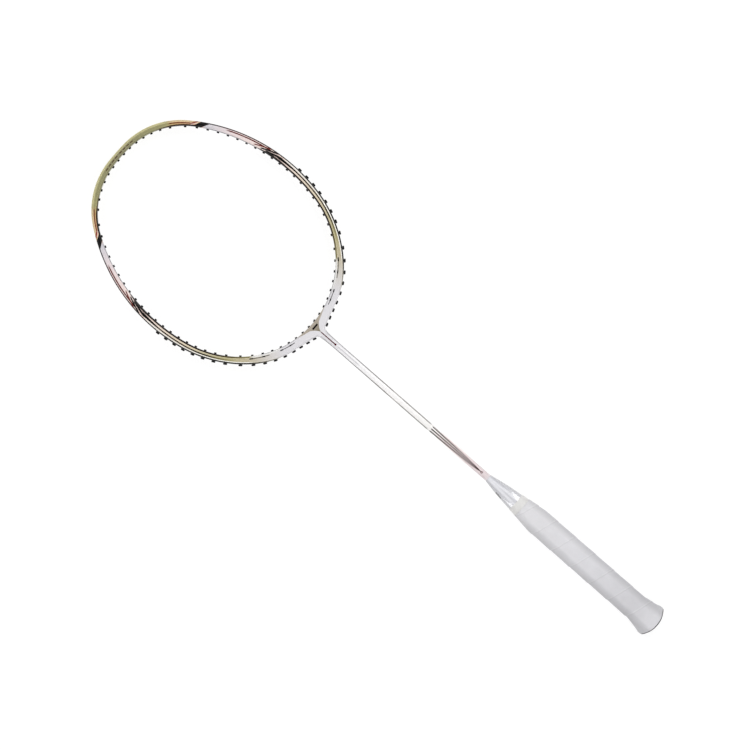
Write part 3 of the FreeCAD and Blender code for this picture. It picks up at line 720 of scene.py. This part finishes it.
class Finish:
    """A material's node tree, with a short call for each kind of node, and the colour painted so far."""

    def __init__(self, name):
        self.material = bpy.data.materials.new(name)
        self.material.use_nodes = True
        self.tree = self.material.node_tree
        self.tree.nodes.clear()
        self.output = self.tree.nodes.new("ShaderNodeOutputMaterial")
        self.colour = None

    def put(self, socket, value):
        if isinstance(value, bpy.types.NodeSocket):
            self.tree.links.new(value, socket)
        else:
            socket.default_value = value

    def node(self, kind, inputs=None, **settings):
        node = self.tree.nodes.new(f"ShaderNode{kind}")
        for key, value in settings.items():
            setattr(node, key, value)
        for key, value in (inputs or {}).items():
            self.put(node.inputs[key], value)
        return node

    def math(self, operation, *values, clamp=False):
        return self.node("Math", dict(enumerate(values)), operation=operation, use_clamp=clamp).outputs[0]

    def above(self, value, edge, soft=0.12):
        """1 where value is over edge, with a soft change of this width."""
        offset = self.math("SUBTRACT", value, edge)
        return self.math("MULTIPLY_ADD", offset, 1.0 / soft, 0.5, clamp=True)

    def below(self, value, edge, soft=0.12):
        """1 where value is under edge, with a soft change of this width."""
        return self.flip(self.above(value, edge, soft))

    def band(self, value, low, high, soft=0.12):
        return self.both(self.above(value, low, soft), self.below(value, high, soft))

    def both(self, *masks):
        """Product of masks: 1 where all of them are 1."""
        made = masks[0]
        for mask in masks[1:]:
            made = self.math("MULTIPLY", made, mask)
        return made

    def either(self, *masks):
        made = masks[0]
        for mask in masks[1:]:
            made = self.math("MAXIMUM", made, mask)
        return made

    def flip(self, mask):
        return self.math("SUBTRACT", 1.0, mask)

    def slope(self, value, low, high, start=0.0, end=1.0):
        """Value mapped from one range to another, and held at the ends."""
        inputs = dict(enumerate((value, low, high, start, end)))
        return self.node("MapRange", inputs, clamp=True).outputs[0]

    def reach(self, first, second):
        """Length of a flat vector that has these two parts."""
        squares = (self.math("MULTIPLY", part, part) for part in (first, second))
        return self.math("SQRT", self.math("ADD", *squares))

    def mix(self, share, first, second):
        return self.node("Mix", {0: share, 6: first, 7: second}, data_type="RGBA").outputs[2]

    def blotched(self, cloud, first, second):
        """Two sRGB colours that pass into each other with a cloud's value."""
        return self.mix(self.slope(cloud, 0.3, 0.7), linear(first), linear(second))

    def paint(self, over, *masks):
        """Lay an sRGB colour or another node's colour over the colour where all the masks are 1."""
        if not isinstance(over, bpy.types.NodeSocket):
            over = linear(over)
        self.colour = self.mix(self.both(*masks), self.colour, over)

    def shade(self, factor):
        """Make the colour darker or lighter by a factor."""
        inputs = {0: self.colour, "Scale": factor}
        self.colour = self.node("VectorMath", inputs, operation="SCALE").outputs[0]

    def speckle(self, speck, amount):
        """Make the colour lighter and darker with a noise by this amount."""
        self.shade(self.math("MULTIPLY_ADD", self.math("SUBTRACT", speck, 0.5), amount, 1.0))

    def ramp(self, value, stops):
        """Colour along value, through (value, sRGB colour) stops."""
        low, high = stops[0][0], stops[-1][0]
        node = self.node("ValToRGB")
        self.put(node.inputs[0], self.slope(value, low, high))
        elements = node.color_ramp.elements
        elements[0].position = 0.0
        elements[0].color = linear(stops[0][1])
        elements[1].position = 1.0
        elements[1].color = linear(stops[-1][1])
        for place, colour in stops[1:-1]:
            element = elements.new((place - low) / (high - low))
            element.color = linear(colour)
        return node.outputs[0]

    def noise(self, vector, scale, detail=3.0, roughness=0.55):
        inputs = {"Vector": vector, "Scale": scale, "Detail": detail, "Roughness": roughness}
        return self.node("TexNoise", inputs).outputs[0]

    def axes(self, vector):
        return self.node("SeparateXYZ", {0: vector}).outputs[0:3]

    def metres(self):
        """Place on the piece."""
        return self.node("TexCoord").outputs["Object"]

    def millimetres(self, scale=(1.0, 1.0, 1.0)):
        """Place on the piece in millimetres, squeezed by a scale."""
        factors = tuple(1000.0 * part for part in scale)
        return self.node("VectorMath", {0: self.metres(), 1: factors}, operation="MULTIPLY").outputs[0]

    def bump(self, height, distance, strength=1.0, under=None):
        """Normal of a surface with this height, on top of another bump if one is given."""
        inputs = {"Height": height, "Distance": distance, "Strength": strength}
        if under is not None:
            inputs["Normal"] = under
        return self.node("Bump", inputs).outputs[0]

    def surface(self, grain, least_rough, most_rough, **others):
        """The material: its colour, roughness that follows a noise, and other shader inputs by name."""
        inputs = {key.replace("_", " "): value for key, value in others.items()}
        inputs["Base Color"] = self.colour
        inputs["Roughness"] = self.slope(grain, 0.3, 0.7, least_rough, most_rough)
        shader = self.node("BsdfPrincipled", inputs)
        self.tree.links.new(shader.outputs[0], self.output.inputs[0])
        return self.material


# -------- head paint
#
# s is the distance round the head's inner edge from the throat, t the distance in from that inner edge,
# and o the distance in from the outer edge.

WHITE_LILAC = (232, 230, 233)
CHAMPAGNE = (208, 197, 168)
NEAR_BLACK = (10, 8, 7)
TIP_GOLD_S = 288


def base_coat(make, s, t, o):
    """Lilac white, champagne, pink white and gold that follow each other round the head."""
    make.colour = make.ramp(s, (
        (0, WHITE_LILAC), (36, (226, 224, 228)), (56, (214, 208, 198)), (70, CHAMPAGNE),
        (88, (198, 190, 148)), (108, (208, 198, 164)), (122, (232, 218, 188)), (160, (238, 222, 208)),
        (178, (238, 214, 204)), (200, (244, 226, 220)), (226, (240, 224, 224)), (252, (214, 212, 218)),
        (258, (214, 172, 142)), (268, (212, 168, 132)), (281, (196, 162, 112)), (289, (169, 164, 118)),
        (318, (161, 158, 119)), (INNER_LENGTH, (154, 149, 118)),
    ))
    # Painted highlight: a pale band beside the inner edge at the throat.
    make.paint((243, 242, 240), make.band(s, 38, 68, 3), make.band(t, 0.3, 1.6))
    # The gold is painted paler along its outer edge, a painted sheen, and darker along its inner edge.
    outer_sheen_share = make.flip(make.slope(o, 0.2, 2.6))
    make.paint((224, 216, 164), make.above(s, TIP_GOLD_S, 8), outer_sheen_share)
    inner_share = make.flip(make.slope(t, 0.5, 3.6))
    make.paint((132, 129, 98), make.above(s, TIP_GOLD_S + 4, 8), inner_share, 0.55)


def side_stripes(make, s, t, o):
    """White and olive stripes down each side, which turn black further up."""
    make.paint((246, 243, 236), make.band(s, 66, 172, 6), make.band(o, 1.2, 2.2))
    centre_colour = make.ramp(s, (
        (84, (176, 168, 122)), (98, (112, 102, 64)), (106, (20, 16, 12)), (176, NEAR_BLACK),
    ))
    centre_low = make.slope(s, 158, 176, 3.1, 2.3)
    centre_high = make.slope(s, 158, 176, 4.3, 4.8)
    centre = make.both(make.band(s, 82, 180, 5), make.band(t, centre_low, centre_high))
    make.paint(centre_colour, centre)
    inner_colour = make.ramp(s, (
        (68, (150, 142, 100)), (84, (96, 86, 52)), (98, (36, 20, 10)), (196, (16, 8, 6)),
        (204, (150, 148, 152)), (250, (168, 166, 172)),
    ))
    inner_depth = make.math("MINIMUM", make.slope(s, 168, 178, 1.6, 2.2), make.slope(s, 186, 200, 2.0, 0.55))
    make.paint(inner_colour, make.band(s, 66, 252, 4), make.below(t, inner_depth))
    outer_colour = make.ramp(s, (
        (41, (150, 144, 120)), (56, (72, 66, 46)), (66, (12, 9, 7)), (180, NEAR_BLACK),
        (190, (44, 10, 8)), (228, (60, 18, 14)), (240, (52, 44, 48)), (252, (34, 30, 34)),
    ))
    outer_depth = make.math("MINIMUM", make.slope(s, 41, 66, 0.4, 1.4), make.slope(s, 146, 160, 1.4, 1.15))
    make.paint(outer_colour, make.band(s, 41, 256, 4), make.below(o, outer_depth))


def stroke(make, s, t, first, last, half):
    """A slanting brush stroke from one (s, t) point to another."""
    fall = (last[1] - first[1]) / (last[0] - first[0])
    line = make.math("MULTIPLY_ADD", make.math("SUBTRACT", s, float(first[0])), fall, float(first[1]))
    off = make.math("ABSOLUTE", make.math("SUBTRACT", t, line))
    return make.both(make.below(off, half, 0.25), make.band(s, first[0], last[0], 2.0))


def brush_strokes(make, s, t, o):
    """Dark strokes where the black ends, and the wedge, red stroke and copper lines where the gold starts."""
    red = make.ramp(s, ((184, (36, 8, 6)), (206, (92, 18, 10)), (232, (96, 28, 20))))
    make.paint(red, make.band(s, 184, 232, 4), make.band(o, 1.75, 2.9))
    for over, first, last, half in (
            (NEAR_BLACK, (175, 4.4), (192, 1.4), 0.95),
            (NEAR_BLACK, (180, 6.0), (197, 1.8), 0.7),
            ((104, 28, 16), (188, 5.8), (204, 2.0), 0.55)):
        make.paint(over, stroke(make, s, t, first, last, half))

    cream_share = make.flip(make.slope(o, 0.4, 3.2))
    make.paint((228, 208, 168), make.band(s, 258, 286, 3), cream_share)
    for over, first, last, half in (
            ((134, 28, 26), (259.5, 5.4), (266, 2.2), 0.7),
            ((118, 56, 30), (265.5, 2.5), (286, 3.2), 0.5),
            ((244, 222, 212), (260.5, 3.2), (266.5, 1.35), 0.3)):
        make.paint(over, stroke(make, s, t, first, last, half))
    brown = make.ramp(s, ((262, (14, 8, 7)), (284, (48, 28, 16)), (300, (104, 94, 56))))
    brown_depth = make.slope(s, 280, 300, 1.5, 0.3)
    make.paint(brown, make.band(s, 259, 300, 2), make.below(t, brown_depth))
    across = make.slope(o, 0.0, 6.0)
    wedge_start = make.math("MULTIPLY_ADD", across, 10.0, 247.2)
    wedge_end = make.math("MULTIPLY_ADD", across, 8.5, 257.0)
    make.paint(NEAR_BLACK, make.band(s, wedge_start, wedge_end, 0.8))


def plain_dashes(make, s, t):
    """Short dashes near the tip, and fine ones beside the throat that are thicker at the holes."""
    dash = make.math("FRACT", make.math("MULTIPLY", s, 1 / 4.6))
    tip_place = make.both(make.band(s, 322, 342, 1), make.band(t, 2.2, 3.3))
    make.paint((84, 60, 36), tip_place, make.band(dash, 0.12, 0.78, 0.06), 0.85)
    thin = make.either(make.band(s, 23.5, 38.7, 0.6), make.band(s, 49, 68, 0.6))
    ends = ((27.0, 29.2), (35.8, 38.4), (53.2, 56.0), (64.4, 67.8))
    thick = make.either(*(make.band(s, low, high, 0.5) for low, high in ends))
    off_line = make.math("ABSOLUTE", make.math("SUBTRACT", t, 2.6))
    make.paint((74, 70, 68), thin, make.below(off_line, 0.35, 0.15))
    make.paint((14, 12, 12), thick, make.below(off_line, 0.6, 0.2))
    make.paint((112, 110, 112), make.band(s, 20, 56, 2), make.below(t, 0.4))


def throat_and_neck(make, s, t, x, y):
    """Taupe panel with a dark bar at the throat, painted shade as grey along the neck's sides, and a dark red
    line on the neck.
    """
    side = make.math("ABSOLUTE", x)
    panel_end, tongue_end_y, dot_y = 20.5, 419.0, 401.0
    panel_depth = make.slope(s, 5.0, panel_end, 3.6, 0.0)
    funnel = make.math("POWER", make.slope(y, tongue_end_y, 427.5), 1.7)
    tongue_half = make.math("MULTIPLY_ADD", funnel, 6.6, 0.25)
    tongue = make.both(make.below(side, tongue_half, 0.5), make.above(y, tongue_end_y, 0.6))
    panel = make.either(make.below(t, panel_depth, 0.35), tongue)
    shade = make.mix(make.slope(y, 420, 430), linear((132, 124, 104)), linear((186, 176, 162)))
    make.paint(shade, panel, make.below(s, panel_end, 0.6))
    make.paint((8, 6, 6), make.below(side, 3.4, 0.3), make.band(y, 425.5, 427.2, 0.2))
    # Painted shade: grey along the neck's sides, where it turns away.
    make.paint((146, 144, 146), make.above(side, 2.8, 0.3), make.below(y, 414, 6), 0.8)
    line = make.both(make.below(side, 0.5, 0.15), make.band(y, dot_y, 418.8, 0.4))
    dot = make.below(make.reach(x, make.math("SUBTRACT", y, dot_y)), 1.05, 0.2)
    make.paint((78, 12, 22), make.either(line, dot))


def head_paint():
    make = Finish("head_frame_lacquer")
    s, t, o = make.axes(make.node("Attribute", attribute_name="paint").outputs["Vector"])
    vector = make.millimetres()
    x, y, _ = make.axes(vector)
    base_coat(make, s, t, o)
    side_stripes(make, s, t, o)
    brush_strokes(make, s, t, o)
    plain_dashes(make, s, t)
    throat_and_neck(make, s, t, x, y)
    flake = make.noise(vector, 9.0, 2.0, 0.7)
    cloud = make.noise(vector, 0.12, 2.0)
    golden = make.either(make.band(s, 60, 125, 16), make.above(s, 258, 6))
    metal = make.both(golden, make.slope(flake, 0.4, 0.62, 0.06, 0.3))
    make.speckle(flake, 0.10)
    ripple = make.bump(make.noise(vector, 0.9, 2.0), 0.00001, 0.35)
    return make.surface(cloud, 0.22, 0.32, Normal=ripple, Metallic=metal, Specular_IOR_Level=0.16,
                        Coat_Weight=0.14, Coat_Roughness=0.06)


# -------- other materials


def shaft_paint():
    make = Finish("shaft_lacquer")
    vector = make.millimetres()
    x, y, _ = make.axes(vector)
    side = make.math("ABSOLUTE", x)
    make.colour = make.ramp(y, (
        (206, (228, 224, 228)), (214, (230, 216, 218)), (262, (236, 220, 218)), (283, (250, 248, 246)),
        (340, (254, 252, 252)), (372, (250, 249, 250)), (398, (240, 238, 241)),
    ))
    # Faint grey centre stripe below the neck.
    make.paint((198, 196, 200), make.below(side, 0.6, 0.4), make.band(y, 371, 399, 3), 0.6)
    # Painted shade: a grey line down each side, where the shaft turns away.
    edge_shade_colour = make.ramp(y, (
        (284, (104, 98, 94)), (318, (96, 90, 86)), (326, (168, 160, 156)), (334, (72, 60, 52)),
        (346, (84, 76, 70)), (370, (132, 130, 130)), (398, (158, 156, 160)),
    ))
    make.paint(edge_shade_colour, make.above(side, 2.55, 0.2), make.above(y, 284, 2), 0.9)
    # Three stripes that run together towards the cone and end in a ring.
    stripe_top_y = 281
    spread = make.math("POWER", make.slope(y, 221, stripe_top_y), 0.5)
    half_stripe = make.slope(y, 222, 258, 0.3, 0.5)
    stripes = []
    for place in (-2.7, -0.3, 2.1):
        off = make.math("SUBTRACT", x, make.math("MULTIPLY", spread, place))
        stripes.append(make.below(make.math("ABSOLUTE", off), half_stripe, 0.12))
    stripe_colour = make.ramp(y, (
        (218, (60, 14, 22)), (240, (44, 10, 14)), (262, (32, 12, 10)), (stripe_top_y, (22, 12, 10)),
    ))
    make.paint(stripe_colour, make.either(*stripes), make.band(y, 219.5, stripe_top_y, 0.8))
    from_ring = make.reach(x, make.math("SUBTRACT", y, 218.6))
    make.paint((84, 18, 28), make.band(from_ring, 0.45, 1.15, 0.15))
    cloud = make.noise(vector, 0.25, 3.0)
    make.speckle(make.noise(vector, 7.0, 2.0, 0.7), 0.05)
    return make.surface(cloud, 0.2, 0.3, Normal=make.bump(cloud, 0.00001, 0.3), Specular_IOR_Level=0.3,
                        Coat_Weight=0.3, Coat_Roughness=0.07)


def moulded_plastic(name, colour, roughness, shine=0.5):
    """Injection-moulded plastic: even colour with faint clouds and a fine moulded grain."""
    make = Finish(name)
    vector = make.millimetres()
    fine = make.noise(vector, 4.0, 3.0, 0.6)
    make.colour = make.blotched(make.noise(vector, 0.3, 3.0), colour, [value * 0.93 for value in colour])
    return make.surface(fine, roughness - 0.05, roughness + 0.07, Normal=make.bump(fine, 0.00002, 0.4),
                        Specular_IOR_Level=shine)


def cone_plastic():
    make = Finish("cone_gloss_white")
    vector = make.millimetres()
    x, y, z = make.axes(vector)
    cloud = make.noise(vector, 0.2, 3.0)
    fine = make.noise(vector, 3.0, 2.0)
    make.colour = make.blotched(cloud, (224, 224, 229), (219, 219, 225))
    # Painted shade: seen at a slant, the gloss white is painted greyer towards its edges.
    facing = make.node("LayerWeight", {"Blend": 0.5}).outputs["Facing"]
    make.paint((92, 92, 98), make.math("POWER", facing, 1.5), 0.9)
    # One plain dark mark on the left side.
    mark = make.both(make.band(y, 189, 196, 0.5), make.below(x, -4.9, 0.4), make.band(z, 1.2, 4.2, 0.4))
    make.paint((44, 42, 46), mark)
    return make.surface(fine, 0.1, 0.15, Normal=make.bump(cloud, 0.00003, 0.25), Specular_IOR_Level=0.9,
                        Coat_Weight=1.0, Coat_Roughness=0.03)


def grip_polyurethane():
    make = Finish("grip_white_polyurethane")
    vector = make.millimetres()
    x, y, z = make.axes(vector)
    turn = make.math("ARCTAN2", z, x)
    lap = make.math("SUBTRACT", y, make.math("MULTIPLY_ADD", turn, WRAP_PITCH / (2 * math.pi), WRAP_START_Y))
    # Ten whole laps more keep the phase above zero.
    phase = make.math("FRACT", make.math("ADD", make.math("DIVIDE", lap, WRAP_PITCH), 10.0))
    seam_painted_shadow = make.either(make.above(phase, 0.985, 0.02), make.below(phase, 0.006, 0.01))
    cloud = make.noise(vector, 0.09, 4.0, 0.6)
    grain = make.noise(vector, 2.6, 4.0, 0.65)
    pores = make.node("TexVoronoi", {"Vector": vector, "Scale": 1.6}).outputs[0]
    # The tape is greyer towards the butt, and its slanted sides are painted darker than its flats, as painted
    # shade.
    make.colour = make.ramp(y, (
        (14, (221, 220, 224)), (28, (212, 211, 215)), (60, (219, 218, 222)), (100, (226, 225, 229)),
        (158, (229, 228, 231)),
    ))
    make.shade(make.slope(cloud, 0.3, 0.7, 1.0, 0.94))
    # Painted shade on the slanted sides.
    make.shade(make.slope(make.math("ABSOLUTE", x), 6.0, 11.5, 1.0, 0.82))
    # A thin painted shadow under each lap's edge, and a painted highlight as a lighter line on it.
    make.paint((176, 174, 178), seam_painted_shadow, 0.22)
    make.paint((250, 249, 251), make.band(phase, 0.02, 0.06, 0.02), 0.16)
    height = make.math("ADD", make.math("MULTIPLY", grain, 0.7), make.math("MULTIPLY", pores, 0.35))
    dents = make.bump(make.noise(vector, 0.22, 3.0, 0.5), 0.00035, 0.5)
    return make.surface(grain, 0.55, 0.68, Normal=make.bump(height, 0.00012, 0.6, dents),
                        Specular_IOR_Level=0.35, Sheen_Weight=0.12)


def band_tape():
    make = Finish("finishing_tape_vinyl")
    vector = make.millimetres()
    cloud = make.noise(vector, 0.4, 3.0)
    fine = make.noise(vector, 5.0, 3.0)
    make.colour = make.blotched(cloud, (231, 230, 228), (225, 223, 221))
    return make.surface(fine, 0.36, 0.5, Normal=make.bump(make.math("ADD", cloud, fine), 0.00003, 0.5))


def core_wood():
    make = Finish("handle_core_wood")
    stretched = make.millimetres((0.5, 0.03, 0.5))
    rings = make.noise(stretched, 1.4, 5.0, 0.6)
    fibre = make.noise(stretched, 9.0, 3.0, 0.7)
    make.colour = make.ramp(rings, ((0.3, (196, 162, 116)), (0.5, (214, 184, 140)), (0.7, (182, 146, 100))))
    make.paint((150, 114, 76), make.slope(fibre, 0.45, 0.75, 0.0, 0.3))
    return make.surface(fibre, 0.55, 0.7, Normal=make.bump(fibre, 0.00008, 0.5))


def cap_plastic():
    make = Finish("butt_cap_satin")
    vector = make.millimetres()
    x, _, z = make.axes(vector)
    fine = make.noise(vector, 3.4, 4.0, 0.65)
    make.colour = make.blotched(make.noise(vector, 0.3, 3.0), (34, 33, 36), (44, 42, 46))
    ring = make.band(make.reach(x, z), PAD_RADIUS + 1.6, PAD_RADIUS + 2.1, 0.2)
    make.paint((96, 94, 98), ring, 0.5)
    return make.surface(fine, 0.42, 0.56, Normal=make.bump(fine, 0.00005, 0.5))


# -------- build


def dress(piece, material, slot, *nodes):
    """Give a piece its one material and the CAD nodes it stands for; slot is not used."""
    piece.data.materials.clear()
    piece.data.materials.append(material)
    if nodes:
        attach(piece, "root")
        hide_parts(*nodes)


places = grommet_places()
dress(head_frame(places), head_paint(), "frame_paint", "head_frame")
nylon = moulded_plastic("grommet_black_nylon", (9, 9, 9), 0.42, shine=0.2)
for place in places:
    dress(grommet_pair(place), nylon, "grommet_nylon", place[0])
dress(shaft(), shaft_paint(), "shaft_paint", "shaft")
dress(cone(), cone_plastic(), "cone_plastic", "cone")
dress(finishing_tape(), band_tape(), "band_tape", "finishing_tape")
dress(grip(), grip_polyurethane(), "grip_polyurethane", "grip_tape")
dress(butt_cap(), cap_plastic(), "cap_plastic", "butt_cap")
dress(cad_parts["t_joint"], moulded_plastic("t_joint_grey_nylon", (86, 88, 92), 0.45), "insert_plastic")
dress(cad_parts["handle_core"], core_wood(), "core_wood")

# -------- stage, light and camera
#
# Places here are in metres.

RACKET_MIDDLE = Vector((0.0027, 0.3536, 0.0))
RING_LOW, RING_BRIGHT, RING_TOP = 0.06, 0.8, 0.03
RING_STOPS = ((0.0, RING_LOW), (0.55, RING_LOW), (0.75, RING_BRIGHT), (0.93, RING_BRIGHT), (0.975, RING_TOP))
RING_STRENGTH = 2.05
FLOOR_REACH = 6.0
FLOOR_GLOW = 0.83
STRIP_LENGTH = 1.8
CAMERA_PLACE = (0.00294, 0.35414, 4.0)
CAMERA_TURN = math.radians(-48.845)
CAMERA_LENS = 204.2


def floor():
    signs = ((-1, -1), (1, -1), (1, 1), (-1, 1))
    corners = [(x * FLOOR_REACH, y * FLOOR_REACH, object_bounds()[0].z) for x, y in signs]
    mesh = bpy.data.meshes.new("floor")
    mesh.from_pydata(corners, [], [(0, 1, 2, 3)])
    made = add_object("floor", mesh)
    make = Finish("floor_white")
    cloud = make.noise(make.metres(), 6.0, 3.0)
    glow = make.mix(cloud, linear((252, 252, 252)), linear((249, 249, 249)))
    make.colour = glow
    make.paint((0, 0, 0), 0.7)
    make.surface(cloud, 0.9, 0.9, Specular_IOR_Level=0.0, Emission_Color=glow, Emission_Strength=FLOOR_GLOW)
    mesh.materials.append(make.material)
    made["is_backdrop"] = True


def studio_world():
    """Soft light from a wide ring overhead, dark straight above so that gloss black stays black."""
    world = bpy.data.worlds.new("studio")
    world.use_nodes = True
    tree = world.node_tree
    direction = tree.nodes.new("ShaderNodeTexCoord").outputs["Generated"]
    height = tree.nodes.new("ShaderNodeSeparateXYZ")
    tree.links.new(direction, height.inputs[0])
    ramp = tree.nodes.new("ShaderNodeValToRGB")
    tree.links.new(height.outputs[2], ramp.inputs[0])
    for index, (place, level) in enumerate(RING_STOPS):
        element = ramp.color_ramp.elements[index] if index < 2 else ramp.color_ramp.elements.new(place)
        element.position = place
        element.color = (level, level, level, 1.0)
    background = tree.nodes["Background"]
    tree.links.new(ramp.outputs[0], background.inputs[0])
    background.inputs[1].default_value = RING_STRENGTH
    bpy.context.scene.world = world


def strip_light(name, offset, width, power):
    """A long lamp beside the racket, aimed at its middle."""
    data = bpy.data.lights.new(name, "AREA")
    data.shape = "RECTANGLE"
    data.size = width
    data.size_y = STRIP_LENGTH
    data.energy = power
    light = add_object(name, data)
    light.location = RACKET_MIDDLE + Vector(offset)
    light.rotation_euler = (-Vector(offset)).to_track_quat("-Z", "Y").to_euler()


def camera():
    data = bpy.data.cameras.new("camera")
    data.sensor_width = 36.0
    data.lens = CAMERA_LENS
    data.clip_end = 20.0
    made = add_object("camera", data)
    made.location = CAMERA_PLACE
    made.rotation_euler = (0.0, 0.0, CAMERA_TURN)
    bpy.context.scene.camera = made


floor()
studio_world()
strip_light("strip_right", (1.31, 0, 0.92), 0.2, 5.0)
strip_light("strip_left", (-1.58, 0, 0.28), 0.16, 3.2)
camera()
bpy.context.scene.view_settings.view_transform = "Standard"
